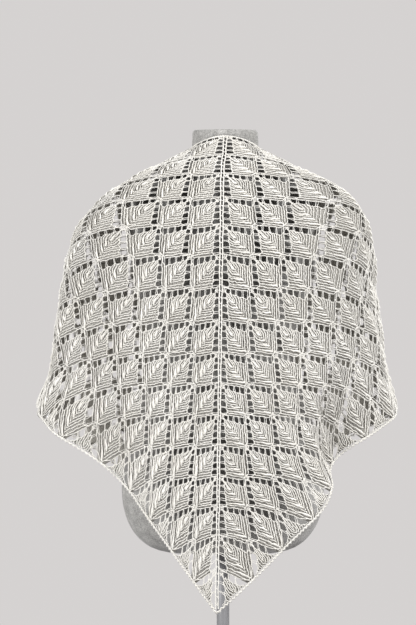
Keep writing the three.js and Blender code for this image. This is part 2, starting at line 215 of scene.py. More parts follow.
def reader(rows, column):
    """Reads one column of a table at any place, on a smooth curve through its rows."""
    place = rows["at"]
    value = rows[column]
    slope = np.gradient(value, place)
    slope[1:-1] = (value[2:] - value[:-2]) / (place[2:] - place[:-2])

    def read(x):
        x = np.asarray(x, float)
        k = np.clip(np.searchsorted(place, x) - 1, 0, len(place) - 2)
        span = place[k + 1] - place[k]
        u = np.clip((x - place[k]) / span, 0, 1)
        rise = u * u * (3 - 2 * u)
        bend = u * (1 - u) ** 2 * span * slope[k] + u * u * (u - 1) * span * slope[k + 1]
        past = np.minimum(x - place[0], 0) * slope[0] + np.maximum(x - place[-1], 0) * slope[-1]
        return value[k] * (1 - rise) + value[k + 1] * rise + bend + past

    return read


back_height = reader(BACK, "height")
back_depth = reader(BACK, "depth")
back_keep = {-1: reader(BACK, "keep_left"), 1: reader(BACK, "keep_right")}
side_height = reader(SIDE, "height")
side_reach = {-1: reader(SIDE, "left"), 1: reader(SIDE, "right")}
front_height = reader(FRONT, "height")
front_depth = reader(FRONT, "depth")
front_edge = reader(FRONT, "edge")


def smooth(u):
    """A soft step from 0 to 1."""
    x = np.clip(u, 0, 1)
    return x * x * (3 - 2 * x)


def reach_share(v, slope):
    """Share of the side's reach: even over the flat back, then rounding off at the side."""
    x = np.minimum(v, 1)
    span = 1 - FLAT_SHARE
    u = np.clip((x - FLAT_SHARE) / span, 0, 1)
    rise = u * u * (3 - 2 * u)
    turned = slope * FLAT_SHARE * (1 - rise) + rise + u * (1 - u) ** 2 * span * slope
    return np.where(x < FLAT_SHARE, slope * x, turned)


def depth_share(v):
    """Share of the depth that is left on the way round to the side."""
    return np.cos(math.pi / 2 * np.clip(v, 0, 1) ** TURN_POWER)


def neck_ring(place):
    """Where the top edge lies round the neck."""
    turn = math.pi / 2 * (np.minimum(place, HOLD_CELLS) / RING_CELLS)
    height = back_height(0) + (front_height(0) - back_height(0)) * np.sin(turn) ** 2
    return np.stack([RING_RADIUS * np.sin(turn), -RING_RADIUS * np.cos(turn), height], -1)


def fan_surface(side, angle, distance):
    """The cloth as a fan of lines from above the neck, before the neck's ring holds it."""
    s = distance * np.sin(angle)
    t = distance * np.cos(angle) - FAN_APEX
    length = np.maximum(distance - FAN_APEX / math.cos(SIDE_ANGLE), 0)
    reach = side_reach[side](length)
    level = np.maximum(distance * math.cos(SIDE_ANGLE) - FAN_APEX, 0)

    v = np.sin(angle) / math.sin(SIDE_ANGLE)
    slope = back_keep[side](t) * CELL * distance * math.sin(SIDE_ANGLE) / reach
    droop = np.maximum(back_height(level) - side_height(length), DROOP_LEAST)
    fall = (back_height(level) - back_height(level + FALL_STEP)) / FALL_STEP
    pull = fall * distance * math.sin(SIDE_ANGLE) * math.tan(SIDE_ANGLE) / droop
    back = np.stack([
        reach * reach_share(v, np.clip(slope, SLOPE_LEAST, SLOPE_MOST)),
        -back_depth(t) * depth_share(v),
        back_height(t) - droop * np.clip(v, 0, 1) ** np.clip(pull, PULL_LEAST, PULL_MOST),
    ], -1)

    v = np.clip(t / np.maximum(level, 1e-9), 0, 1)
    place = s - RING_CELLS
    edge = front_edge(place)
    side_place = np.maximum(distance * math.sin(SIDE_ANGLE) - RING_CELLS, 0)
    slope = CELL * level / np.maximum(reach - edge, 1)
    droop = np.maximum(front_height(side_place) - side_height(length), DROOP_LEAST)
    fall = (front_height(side_place) - front_height(side_place + FALL_STEP)) / FALL_STEP
    pull = fall * level / math.tan(SIDE_ANGLE) / droop
    front = np.stack([
        edge + (reach - edge) * reach_share(v, np.clip(slope, SLOPE_LEAST, SLOPE_MOST)),
        front_depth(place) * depth_share(v),
        front_height(place) - droop * v ** np.clip(pull, PULL_LEAST, PULL_MOST),
    ], -1)
    return np.where((angle <= SIDE_ANGLE)[..., None], back, front)


def draped_plain(side, s0, t0):
    """Where points of the cloth lie once it is draped, before the folds."""
    total = s0 + t0
    past = np.maximum(total - EDGE_START, 0) / (CELLS_DEEP - EDGE_START)
    grow = 1 + EDGE_GROWTH * past * past / np.maximum(total, 1)
    s = s0 * grow
    t = t0 * grow
    angle = np.arctan2(s, t + FAN_APEX)
    distance = np.hypot(s, t + FAN_APEX)
    point = fan_surface(side, angle, distance)
    foot = FAN_APEX * np.tan(angle)
    hold = np.minimum(foot, HOLD_CELLS)
    seat = fan_surface(side, np.arctan2(hold, FAN_APEX), np.hypot(hold, FAN_APEX))
    below = distance - np.hypot(foot, FAN_APEX)
    near = (1 - smooth(below / RING_REACH)) * (1 - smooth((foot - HOLD_CELLS) / RING_REACH))
    point = point + (neck_ring(hold) - seat) * near[..., None]
    for k in np.flatnonzero(SWINGS["side"] == side):
        apart = (s0 - SWINGS["s"][k]) ** 2 + (t0 - SWINGS["t"][k]) ** 2
        share = np.exp(-apart / SWINGS["half"][k] ** 2)
        point[..., 0] += SWINGS["across"][k] * share
        point[..., 1] += SWINGS["ahead"][k] * share
    lean = SPINE_LEAN * t * (1 - smooth(angle / SIDE_ANGLE))
    point[..., 0] = side * point[..., 0] + lean + NECK_CENTRE * near
    return point


def facing(place, side, s, t):
    """Which way the cloth faces, away from the form."""
    step = FACING_STEP
    out = place(side, s + step, t) - place(side, np.maximum(s - step, 0), t)
    down = place(side, s, t + step) - place(side, s, np.maximum(t - step, 0))
    across = np.cross(out, down) * -side
    return across / np.linalg.norm(across, axis=-1, keepdims=True)


def fold_rise(side, s, t):
    """How far the folds lift the cloth."""
    total = np.zeros_like(s)
    columns = ("s1", "t1", "s2", "t2", "half", "left" if side < 0 else "right")
    for s1, t1, s2, t2, half, rise in zip(*(FOLDS[column] for column in columns)):
        ds = s2 - s1
        dt = t2 - t1
        along = ((s - s1) * ds + (t - t1) * dt) / (ds * ds + dt * dt)
        across = ((s - s1) * dt - (t - t1) * ds) / math.hypot(ds, dt)
        fade = smooth(along * FADE_IN + FADE_FROM) * smooth((FADE_END - along) * FADE_OUT)
        total += rise * fade * np.exp(-((across / half) ** 2))
    return total


def draped(side, s, t):
    """Where points of the cloth's inner face lie."""
    rise = fold_rise(side, s, t)
    return draped_plain(side, s, t) + facing(draped_plain, side, s, t) * rise[..., None]


def on_cloth(side, s, t, out):
    """Points of the cloth, moved out from its inner face."""
    s = np.maximum(np.asarray(s, float), 0)
    t = np.maximum(np.asarray(t, float), 0)
    return draped(side, s, t) + facing(draped, side, s, t) * np.asarray(out)[..., None]


class Wire:
    """A shader socket that takes part in Python expressions."""

    def __init__(self, finish, socket):
        self.finish = finish
        self.socket = socket

    def _maths(self, operation, first, second):
        return self.finish.node("ShaderNodeMath", {"operation": operation}, {0: first, 1: second})

    def __add__(self, other):
        return self._maths("ADD", self, other)

    __radd__ = __add__

    def __sub__(self, other):
        return self._maths("SUBTRACT", self, other)

    def __rsub__(self, other):
        return self._maths("SUBTRACT", other, self)

    def __mul__(self, other):
        return self._maths("MULTIPLY", self, other)

    __rmul__ = __mul__


class Finish:
    """A material, built node by node."""

    def __init__(self, name, rough, metal=0.0, sheen=0.0):
        self.material = bpy.data.materials.new(name)
        self.material.use_nodes = True
        self.tree = self.material.node_tree
        self.surface = self.tree.nodes["Principled BSDF"]
        self.surface.inputs["Roughness"].default_value = rough
        self.surface.inputs["Metallic"].default_value = metal
        self.surface.inputs["Sheen Weight"].default_value = sheen

    def node(self, kind, settings=None, sockets=None, out=0):
        made = self.tree.nodes.new(kind)
        for key, value in (settings or {}).items():
            if key == "stops":
                self._stops(made.color_ramp, value)
            else:
                setattr(made, key, value)
        for key, value in (sockets or {}).items():
            self._feed(made.inputs[key], value)
        return Wire(self, made.outputs[out])

    def _stops(self, ramp, stops):
        while len(ramp.elements) < len(stops):
            ramp.elements.new(0.5)
        for element, (place, colour) in zip(ramp.elements, stops):
            element.position = place
            element.color = (*colour, 1)

    def _feed(self, socket, value):
        if isinstance(value, Wire):
            self.tree.links.new(value.socket, socket)
        else:
            socket.default_value = value

    def set(self, **sockets):
        for key, value in sockets.items():
            self._feed(self.surface.inputs[key.replace("_", " ")], value)

    def bump(self, height, strength, distance):
        sockets = {"Strength": strength, "Distance": distance, "Height": height}
        normal = self.node("ShaderNodeBump", None, sockets)
        self.set(Normal=normal)

    def mix(self, factor, first, second):
        sockets = {0: factor, 6: first, 7: second}
        return self.node("ShaderNodeMix", {"data_type": "RGBA"}, sockets, out=2)

    def noise(self, place, scale, detail=3.0, rough=0.5):
        sockets = {"Vector": place, "Scale": scale, "Detail": detail, "Roughness": rough}
        return self.node("ShaderNodeTexNoise", None, sockets)

    def place(self):
        return self.node("ShaderNodeTexCoord", out="Object")

    def split(self, vector):
        """The first two numbers of a vector."""
        parts = self.tree.nodes.new("ShaderNodeSeparateXYZ")
        self.tree.links.new(vector.socket, parts.inputs[0])
        return [Wire(self, parts.outputs[k]) for k in (0, 1)]

    def sine(self, value):
        return self.node("ShaderNodeMath", {"operation": "SINE"}, {0: value})

    def ramp(self, factor, *stops):
        """A colour ramp through (place, colour) stops."""
        return self.node("ShaderNodeValToRGB", {"stops": stops}, {"Fac": factor})


# Rates of the sines that draw the twist of the plies, the purl bumps and the lean of their rows,
# and how far off, in metres, the cloth still casts painted shade on the felt
PLY_TWIST = 2600.0
PURL_PITCH = 88.0
PURL_LEAN = 12.0
SHADE_REACH = 0.06


def yarn_finish():
    """Plied natural wool: twist and loose fibres along each strand, with painted shade making the
    hollows of the twist darker and warmer.
    """
    finish = Finish("natural_wool", rough=0.82, sheen=0.25)
    place = finish.place()
    ring = finish.node("ShaderNodeAttribute", {"attribute_name": "ring"}, out="Vector")
    along = finish.node("ShaderNodeAttribute", {"attribute_name": "along"}, out="Fac")
    x, y = finish.split(ring)
    turn = finish.node("ShaderNodeMath", {"operation": "ARCTAN2"}, {0: y, 1: x})
    twist = finish.sine(turn * 2.0 + along * PLY_TWIST)
    fibre = finish.noise(place, 900.0, 2.0)
    cloud = finish.noise(place, 14.0, 2.0)
    # Painted shade: the twist term darkens and warms the colour in the ply hollows
    tone = finish.ramp(
        fibre * 0.45 + cloud * 0.4 + twist * 0.06 + 0.1,
        (0.3, (0.80, 0.77, 0.70)),
        (0.55, (0.90, 0.88, 0.83)),
        (0.8, (0.95, 0.94, 0.91)),
    )
    finish.set(Base_Color=tone)
    finish.bump(twist * 0.5 + fibre, 0.5, 0.0004)
    return finish.material


def purl_finish(name, dark, middle, light):
    """The purl side of the wool: rows of small bumps, with painted shade darkening the gaps
    between them.
    """
    finish = Finish(name, rough=0.9, sheen=0.15)
    place = finish.place()
    chart = finish.node("ShaderNodeUVMap", {"uv_map": "cloth"})
    s, t = finish.split(chart)
    columns = finish.sine(s * PURL_PITCH + t * PURL_LEAN)
    rows = finish.sine(t * PURL_PITCH - s * PURL_LEAN)
    fibre = finish.noise(place, 700.0, 3.0)
    factor = fibre * 0.6 + columns * rows * 0.15 + 0.2
    # Painted shade: the low places between the bumps take the darkest tone
    tone = finish.ramp(factor, (0.25, dark), (0.6, middle), (0.85, light))
    finish.set(Base_Color=tone)
    finish.bump(columns * rows + fibre, 0.6, 0.0008)
    return finish.material


def felt_finish():
    """Heather grey felt: fine flecks of fibre, softly matted, with painted shade under the cloth.
    """
    finish = Finish("heather_felt", rough=0.95, sheen=0.2)
    place = finish.place()
    fleck = finish.noise(place, 420.0, 4.0, 0.7)
    patch = finish.noise(place, 60.0, 3.0, 0.6)
    tone = finish.ramp(
        fleck * 0.7 + patch * 0.3,
        (0.36, (0.19, 0.187, 0.18)),
        (0.5, (0.35, 0.345, 0.33)),
        (0.64, (0.55, 0.54, 0.52)),
    )
    # Painted shade: an ambient-occlusion node darkens the felt's colour towards near black where
    # the cloth lies close over it
    reach = {"Distance": SHADE_REACH}
    unoccluded = finish.node("ShaderNodeAmbientOcclusion", {"samples": 8}, reach, out=1)
    unshaded_share = finish.node("ShaderNodeMapRange", None, {0: unoccluded, 1: 0.15, 2: 0.85})
    finish.set(Base_Color=finish.mix(unshaded_share, (0.09, 0.088, 0.085, 1), tone))
    finish.bump(fleck + patch * 0.5, 0.35, 0.0008)
    return finish.material


def enamel_finish():
    """Satin grey enamel with a faint orange-peel and dulled patches."""
    finish = Finish("satin_enamel", rough=0.5, metal=0.1)
    place = finish.place()
    peel = finish.noise(place, 180.0, 2.0)
    worn = finish.noise(place, 9.0, 4.0)
    finish.set(Base_Color=finish.mix(worn, (0.22, 0.22, 0.23, 1), (0.34, 0.34, 0.35, 1)))
    finish.set(Roughness=worn * 0.25 + 0.38)
    finish.bump(peel, 0.12, 0.0004)
    return finish.material


def yarn_sweep_tree():
    """Turns chains of edges into yarn: each chain becomes a tube as thick as its points say."""
    tree = bpy.data.node_groups.new("yarn sweep", "GeometryNodeTree")
    face = tree.interface
    face.new_socket("Geometry", in_out="INPUT", socket_type="NodeSocketGeometry")
    face.new_socket("Sides", in_out="INPUT", socket_type="NodeSocketInt")
    face.new_socket("Finish", in_out="INPUT", socket_type="NodeSocketMaterial")
    face.new_socket("Geometry", in_out="OUTPUT", socket_type="NodeSocketGeometry")
    nodes = tree.nodes
    join = tree.links.new
    given = nodes.new("NodeGroupInput")
    curve = nodes.new("GeometryNodeMeshToCurve")
    join(given.outputs["Geometry"], curve.inputs["Mesh"])
    length = nodes.new("GeometryNodeSplineParameter")
    mark = nodes.new("GeometryNodeStoreNamedAttribute")
    mark.data_type = "FLOAT"
    mark.inputs["Name"].default_value = "along"
    join(curve.outputs[0], mark.inputs["Geometry"])
    join(length.outputs["Length"], mark.inputs["Value"])
    thick = nodes.new("GeometryNodeInputNamedAttribute")
    thick.data_type = "FLOAT"
    thick.inputs["Name"].default_value = "thick"
    circle = nodes.new("GeometryNodeCurvePrimitiveCircle")
    circle.inputs["Radius"].default_value = 1
    join(given.outputs["Sides"], circle.inputs["Resolution"])
    where = nodes.new("GeometryNodeInputPosition")
    ring = nodes.new("GeometryNodeStoreNamedAttribute")
    ring.data_type = "FLOAT_VECTOR"
    ring.inputs["Name"].default_value = "ring"
    join(circle.outputs["Curve"], ring.inputs["Geometry"])
    join(where.outputs[0], ring.inputs["Value"])
    radius = nodes.new("GeometryNodeSetCurveRadius")
    join(mark.outputs["Geometry"], radius.inputs["Curve"])
    join(thick.outputs["Attribute"], radius.inputs["Radius"])
    sweep = nodes.new("GeometryNodeCurveToMesh")
    sweep.inputs["Fill Caps"].default_value = True
    join(radius.outputs[0], sweep.inputs["Curve"])
    join(ring.outputs["Geometry"], sweep.inputs["Profile Curve"])
    if "Scale" in sweep.inputs:
        join(thick.outputs["Attribute"], sweep.inputs["Scale"])
    soft = nodes.new("GeometryNodeSetShadeSmooth")
    join(sweep.outputs[0], soft.inputs["Geometry"])
    real = nodes.new("GeometryNodeRealizeInstances")
    join(soft.outputs[0], real.inputs[0])
    paint = nodes.new("GeometryNodeSetMaterial")
    join(real.outputs[0], paint.inputs["Geometry"])
    join(given.outputs["Finish"], paint.inputs["Material"])
    result = nodes.new("NodeGroupOutput")
    join(paint.outputs[0], result.inputs["Geometry"])
    return tree


sweep_tree = yarn_sweep_tree()
wool = yarn_finish()
# Painted shade: the outer skin's finish is a darker copy of the wool, standing for the shade
# between the raised strands
purl = purl_finish("painted_shade_wool", (0.27, 0.255, 0.235), (0.45, 0.435, 0.40), (0.60, 0.58, 0.54))
inside = purl_finish("inner_wool", (0.34, 0.32, 0.28), (0.52, 0.50, 0.45), (0.68, 0.66, 0.61))
felt = felt_finish()
enamel = enamel_finish()


def spin_yarn(name, chains, sides):
    """Makes one piece from chains: arrays of points in millimetres with the radius as fourth."""
    counts = [len(chain) for chain in chains]
    points = np.concatenate(chains)
    starts = np.cumsum([0] + counts[:-1])
    edges = np.concatenate([np.stack([np.arange(a, a + n - 1), np.arange(a + 1, a + n)], 1)
                            for a, n in zip(starts, counts)])
    mesh = bpy.data.meshes.new(name + "_paths")
    mesh.vertices.add(len(points))
    mesh.vertices.foreach_set("co", (points[:, :3] * MM).astype(np.float32).ravel())
    mesh.edges.add(len(edges))
    mesh.edges.foreach_set("vertices", edges.astype(np.int32).ravel())
    thick = mesh.attributes.new("thick", "FLOAT", "POINT")
    thick.data.foreach_set("value", (points[:, 3] * MM).astype(np.float32))
    mesh.update()
    paths = bpy.data.objects.new(name + "_paths", mesh)
    bpy.context.scene.collection.objects.link(paths)
    modifier = paths.modifiers.new("yarn sweep", "NODES")
    modifier.node_group = sweep_tree
    sockets = {item.name: item.identifier for item in sweep_tree.interface.items_tree
               if item.in_out == "INPUT"}
    modifier[sockets["Sides"]] = sides
    modifier[sockets["Finish"]] = wool
    seen = bpy.context.evaluated_depsgraph_get()
    swept = bpy.data.meshes.new_from_object(paths.evaluated_get(seen))
    piece = bpy.data.objects.new(name, swept)
    bpy.context.scene.collection.objects.link(piece)
    bpy.data.objects.remove(paths)
    return piece


def bent(points, steps, rounds=2):
    """A chain through a few points with its corners eased."""
    points = np.array(points, float)
    far = np.concatenate([[0], np.cumsum(np.linalg.norm(np.diff(points, axis=0), axis=1))])
    at = np.linspace(0, far[-1], steps)
    chain = np.stack([np.interp(at, far, points[:, k]) for k in range(points.shape[1])], 1)
    for _ in range(rounds):
        chain[1:-1] = (chain[:-2] + 2 * chain[1:-1] + chain[2:]) / 4
    return chain


# The leaf square. Strands start at its eyelet bands, the inner ones running down the diagonal.
# They turn upright, or level, at a line from the square's side corner, and end on the axis, so
# that they stay evenly spaced. The bands widen away from the square's inner corner.
STARTS = (0.935, 0.855, 0.762, 0.649, 0.536, 0.423, 0.31, 0.197)
STRAND_POINTS = 9
TURN_FROM = 0.13
TURN_SLOPE = math.tan(math.radians(22.5))
RIM_NARROW = 0.138
RIM_WIDENS = 0.11
EYELETS = (0.2, 0.425, 0.65, 0.875)
BARS = (0.085, 0.315, 0.54, 0.765, 0.965)
PAST_AXIS = 0.03
SHORT_OF_AXIS = 0.045
TIP_PUSH = 0.12
TIP_PLACE = 0.93
LOW_OF_WALL = 0.4
STITCH_SWELL = 0.16
BULKY_SHARE = np.array([0, 0, 0, 0, 0.25, 0.7, 1, 1, 0.5])
BAND_POINTS = 15
BAND_START = 0.02
RIM_RIPPLE = 0.026
BAR_POINTS = 4
BAR_PAST = 0.015
BAR_HALF_APART = 0.014
BAR_SPREAD = 1.9
GROUND_STEPS = 8
GROUND_DEPTH = 1.7
GROUND_WALL = 0.6
BESIDE_SPINE = (SPINE_HALF - 0.6) / CELL
UNDER_BAND = (BAND_WIDTH - 1.0) / CELL


def leaf_rise(a, b):
    """Height of a leaf's face over the cloth's inner face: it swells in the middle."""
    swell = np.sin(math.pi * np.clip(a, 0, 1)) * np.sin(math.pi * np.clip(b, 0, 1))
    return WALL - LOW_OF_WALL + LEAF_RISE * swell


def rim(along):
    """How far an eyelet band reaches into the square at a place along it."""
    return RIM_NARROW + RIM_WIDENS * along


def strand_path(start, past, half_square):
    """One strand from the upper band: down the diagonal, then straight down past the axis."""
    top = rim(start)
    turn = max((TURN_FROM + TURN_SLOPE + start - top) / (1 + TURN_SLOPE), start)
    path = [(start, top), (turn, turn - start + top), (turn, min(turn + past, 1))]
    if turn == start:
        path.pop(1)
    strand = bent(path, STRAND_POINTS, 1)
    return trimmed(strand) if half_square else strand


def trimmed(strand):
    """The part of a strand above the lower edge, which halves the square."""
    reach = strand.sum(1)
    order = np.arange(len(reach))
    stop = np.interp(1.0, reach, order) if reach[-1] > 1 else len(reach) - 1
    at = np.linspace(0, stop, len(reach))
    return np.stack([np.interp(at, order, strand[:, k]) for k in (0, 1)], 1)


def with_height(chain, out, thick):
    """Adds the height over the cloth and the thickness, uneven from stitch to stitch."""
    swell = 1 + STITCH_SWELL * np.cos(math.pi * np.arange(len(chain)))
    height = leaf_rise(chain[:, 0], chain[:, 1]) + out
    return np.column_stack([chain, height, thick * swell])


def bulky_end(wale):
    """Where two strands are knitted together on the axis, the upper one is thick and raised."""
    wale[:, 3] += (AXIS_STROKE - WALE) * BULKY_SHARE
    wale[:, 2] += STROKE_OUT * BULKY_SHARE
    return wale


def eyelet_band(half_square):
    """The rim, grid strand and double bars of the band along a square's top."""
    along = np.linspace(BAND_START, 1.0, BAND_POINTS)
    ripple = RIM_RIPPLE * np.cos(2 * math.pi * (along - EYELETS[0]) / (EYELETS[1] - EYELETS[0]))
    edge = rim(along) + ripple
    keep = along + edge < 1.01 if half_square else np.full(BAND_POINTS, True)
    rows = [
        with_height(np.column_stack([along, np.zeros(BAND_POINTS)]), GRID_OUT, GRID_STRAND),
        with_height(np.column_stack([along, edge])[keep], RIM_OUT, RIM),
    ]
    for place in BARS:
        reach = rim(place) + BAR_PAST
        if half_square and place + reach > 1:
            continue
        for shift in (-BAR_HALF_APART, BAR_HALF_APART):
            lean = np.linspace(place + shift, place + shift * BAR_SPREAD, BAR_POINTS)
            bar = np.column_stack([lean, np.linspace(0, reach, BAR_POINTS)])
            rows.append(with_height(bar, BAR_OUT, BAR))
    return rows


def leaf_square(side, half_square):
    """The yarn of one square: strands, ladders between them, and the eyelet bands."""
    on_top = [strand_path(start, PAST_AXIS, half_square) for start in STARTS]
    under = [strand_path(start, -SHORT_OF_AXIS, half_square)[:, ::-1] for start in STARTS[::-1]]
    top_wales = [with_height(chain, WALE_OUT, WALE) for chain in on_top]
    if not half_square:
        top_wales = [bulky_end(wale) if k % 2 else wale for k, wale in enumerate(top_wales)]
    under_wales = [with_height(chain, UNDER_WALE_OUT, WALE) for chain in under]
    fan = on_top + under
    ladders = []
    for first, second in zip(fan[:-1], fan[1:]):
        zigzag = np.where((np.arange(STRAND_POINTS) % 2 == 0)[:, None], first, second)
        ladders.append(with_height(zigzag, LADDER_OUT, LADDER))
    wales = top_wales + under_wales
    if side > 0:
        wales = [row[:, [1, 0, 2, 3]] for row in wales]
        ladders = [row[:, [1, 0, 2, 3]] for row in ladders]
    band = eyelet_band(half_square)
    across = [row[:, [1, 0, 2, 3]] for row in band]
    return wales, ladders, band, across


def sawtooth(x):
    """How far the knitting is drawn towards each square's outer corner, along one side of it."""
    x = np.mod(np.clip(x, 0, None), 1.0)
    return TIP_PUSH * np.where(x < TIP_PLACE, x / TIP_PLACE, (1 - x) / (1 - TIP_PLACE))


def settled(chain, i, j, half_square):
    """Moves a square's yarn to its place, drawn towards the outer corner as it hangs."""
    a = chain[:, 0].copy()
    b = chain[:, 1].copy()
    edge = np.clip((1 - a - b) * 3, 0, 1) if half_square else 1.0
    chain[:, 0] += sawtooth(b) * edge * (np.clip(a, 0, 1) if i == 0 else 1.0)
    chain[:, 1] += sawtooth(a) * edge * (np.clip(b, 0, 1) if j == 0 else 1.0)
    if i == 0:
        chain[:, 0] += BESIDE_SPINE * (1 - a) ** 2
    if j == 0:
        chain[:, 1] += UNDER_BAND * (1 - b) ** 2
    if half_square:
        over = np.maximum(chain[:, 0] + chain[:, 1] - 1, 0)
        chain[:, 0] -= over / 2
        chain[:, 1] -= over / 2
    chain[:, 0] += i
    chain[:, 1] += j
    return chain


def squares():
    """Every square of a half: its place and whether the lower edge halves it."""
    for i in range(CELLS_DEEP):
        for j in range(CELLS_DEEP - i):
            yield i, j, i + j == CELLS_DEEP - 1


def lay_square_yarn(side, parts):
    """Repeats some of the yarn over every square of a half and lays it on the drape."""
    loose = np.random.default_rng(SEED + parts[0] + (10 if side > 0 else 0))
    flat = []
    for i, j, half_square in squares():
        made = leaf_square(side, half_square)
        for part in parts:
            at_edge = (part == 2 and j == 0) or (part == 3 and i == 0)
            for row in made[part][1:] if at_edge else made[part]:
                chain = row.copy()
                chain[:, :2] += loose.normal(0, LOOSE_STRAND, 2)
                chain[:, :2] += loose.normal(0, LOOSE_STITCH, (len(chain), 2))
                chain[:, 2] += loose.normal(0, LOOSE_HEIGHT, len(chain))
                chain[:, 3] *= loose.uniform(*STITCH_THICK, len(chain))
                flat.append(settled(chain, i, j, half_square))
    counts = np.cumsum([len(chain) for chain in flat])[:-1]
    every = np.concatenate(flat)
    places = on_cloth(side, every[:, 0], every[:, 1], every[:, 2])
    return np.split(np.column_stack([places, every[:, 3]]), counts)


def purl_ground(name, side):
    """The close purl side under the raised strands of each leaf, as a thin wall."""
    steps = np.linspace(0, 1, GROUND_STEPS + 1)
    u, v = np.meshgrid(steps, steps, indexing="ij")
    a = rim(v) + (1 - rim(v)) * u
    b = rim(u) + (1 - rim(u)) * v
    half_b = rim(a) + np.maximum(1 - a - rim(a), 0) * v
    points = []
    charts = []
    faces = []
    for i, j, half_square in squares():
        depth = half_b if half_square else b
        flat = np.column_stack([a.ravel(), depth.ravel()])
        height = leaf_rise(flat[:, 0], flat[:, 1])
        start = sum(len(part) for part in points)
        placed = settled(flat.copy(), i, j, half_square)
        charts.append(np.vstack([placed, placed]))
        for depth_below in (GROUND_DEPTH, GROUND_DEPTH + GROUND_WALL):
            points.append(on_cloth(side, placed[:, 0], placed[:, 1], height - depth_below))
        faces += ground_faces(start, (GROUND_STEPS + 1) ** 2, side)
    # The outer skin gets the painted-shade wool; the inner skin gets the paler wool
    piece = joined(name, np.concatenate(points), faces, purl)
    piece.data.materials.append(inside)
    skin = GROUND_STEPS * GROUND_STEPS
    order = np.arange(len(faces)) % (2 * skin + 4 * GROUND_STEPS)
    within = (order >= skin) & (order < 2 * skin)
    piece.data.polygons.foreach_set("material_index", within.astype(np.int32))
    chart = piece.data.uv_layers.new(name="cloth")
    corners = np.array([loop.vertex_index for loop in piece.data.loops])
    chart.data.foreach_set("uv", np.concatenate(charts)[corners].astype(np.float32).ravel())
    return piece


def ground_faces(start, count, side):
    """Faces of one square's wall: outer skin, inner skin and the edge round them."""
    row = GROUND_STEPS + 1
    skin = []
    for p in range(GROUND_STEPS):
        for q in range(GROUND_STEPS):
            k = start + p * row + q
            face = (k, k + row, k + row + 1, k + 1)
            skin.append(face if side < 0 else face[::-1])
    back = [tuple(k + count for k in face[::-1]) for face in skin]
    loop = [start + p * row for p in range(row)]
    loop += [start + GROUND_STEPS * row + q for q in range(1, row)]
    loop += [start + p * row + GROUND_STEPS for p in range(GROUND_STEPS - 1, -1, -1)]
    loop += [start + q for q in range(GROUND_STEPS - 1, 0, -1)]
    if side > 0:
        loop.reverse()
    edge = [(q, p, p + count, q + count) for p, q in zip(loop, loop[1:] + loop[:1])]
    return skin + back + edge


def joined(name, points, faces, finish):
    """One mesh piece from points in millimetres."""
    mesh = bpy.data.meshes.new(name)
    mesh.from_pydata((points * MM).tolist(), [], faces)
    mesh.polygons.foreach_set("use_smooth", [True] * len(faces))
    mesh.materials.append(finish)
    mesh.update()
    piece = bpy.data.objects.new(name, mesh)
    bpy.context.scene.collection.objects.link(piece)
    return piece


def twisted(centre, across, up, radius, thick, pitch, plies):
    """Plies wound round a centre line, as chains."""
    far = np.concatenate([[0], np.cumsum(np.linalg.norm(np.diff(centre, axis=0), axis=1))])
    chains = []
    for ply in range(plies):
        turn = 2 * math.pi * (far / pitch + ply / plies)
        wound = centre + across * (radius * np.cos(turn))[:, None]
        wound += up * (radius * np.sin(turn))[:, None]
        chains.append(np.column_stack([wound, np.full(len(wound), thick)]))
    return chains


def unit(vectors):
    """The same directions with a length of 1."""
    return vectors / np.linalg.norm(vectors, axis=-1, keepdims=True)


# Along the spine and the edges: places and stitches in squares, and windings in millimetres
SPINE_TOP = 0.08
SPINE_STITCH = 0.0625
RAILS_APART = 0.62
RAIL_WAVE, RAIL_RIPPLE = 0.007, 0.004
STITCHES_A_BAR = 3
NECK_STITCH = 0.07
NECK_INSET = 0.035
NECK_WIND, NECK_PITCH = 0.95, 9.0
BIND_START = 0.06
BIND_STITCH = 0.025
BIND_REACH = 0.03
BIND_SCALLOP = 0.012
BIND_BUMPS = 0.25
BIND_WIND, BIND_PITCH = 1.2, 7.5


def along_edge(left, right, faces_left, faces_right, middle=()):
    """A line from one front to the other, with the directions across it and outwards."""
    centre = np.concatenate([left[::-1], *middle, right])
    outward = np.concatenate([faces_left[::-1], *(faces_right[:1] for _ in middle), faces_right])
    along = unit(np.gradient(centre, axis=0))
    across = unit(np.cross(along, outward))
    return centre, across, np.cross(across, along)


def spine_yarn():
    """Two strands up the middle of the back, with short bars between them."""
    t = np.arange(SPINE_TOP, CELLS_DEEP - 0.02, SPINE_STITCH)
    half = SPINE_HALF * RAILS_APART / CELL
    rails = {}
    for side in (-1, 1):
        wave = RAIL_WAVE * np.sin(2 * math.pi * t + side)
        ripple = RAIL_RIPPLE * np.sin(17.0 * t - side)
        rails[side] = on_cloth(side, half + wave + ripple, t, np.full(len(t), SPINE_OUT))
    swell = SPINE_RAIL * (1 + STITCH_SWELL * np.cos(math.pi * np.arange(len(t))))
    chains = [np.column_stack([rails[side], swell]) for side in (-1, 1)]
    for k in range(0, len(t) - 1, STITCHES_A_BAR):
        ends = np.linspace(rails[-1][k], rails[1][k + 1], BAR_POINTS)
        chains.append(np.column_stack([ends, np.full(BAR_POINTS, SPINE_BAR)]))
    return chains


def top_edge_yarn():
    """The cast-on edge: two plies wound along the neck and down both fronts."""
    s = np.arange(0, CELLS_DEEP, NECK_STITCH)
    runs = []
    faces = []
    for side, places in ((-1, s[1:]), (1, s)):
        inset = np.full(len(places), NECK_INSET)
        runs.append(on_cloth(side, places, inset, np.full(len(places), NECK_OUT)))
        faces.append(facing(draped, side, places, np.zeros(len(places))))
    return twisted(*along_edge(*runs, *faces), NECK_WIND, NECK_PLY, NECK_PITCH, 2)


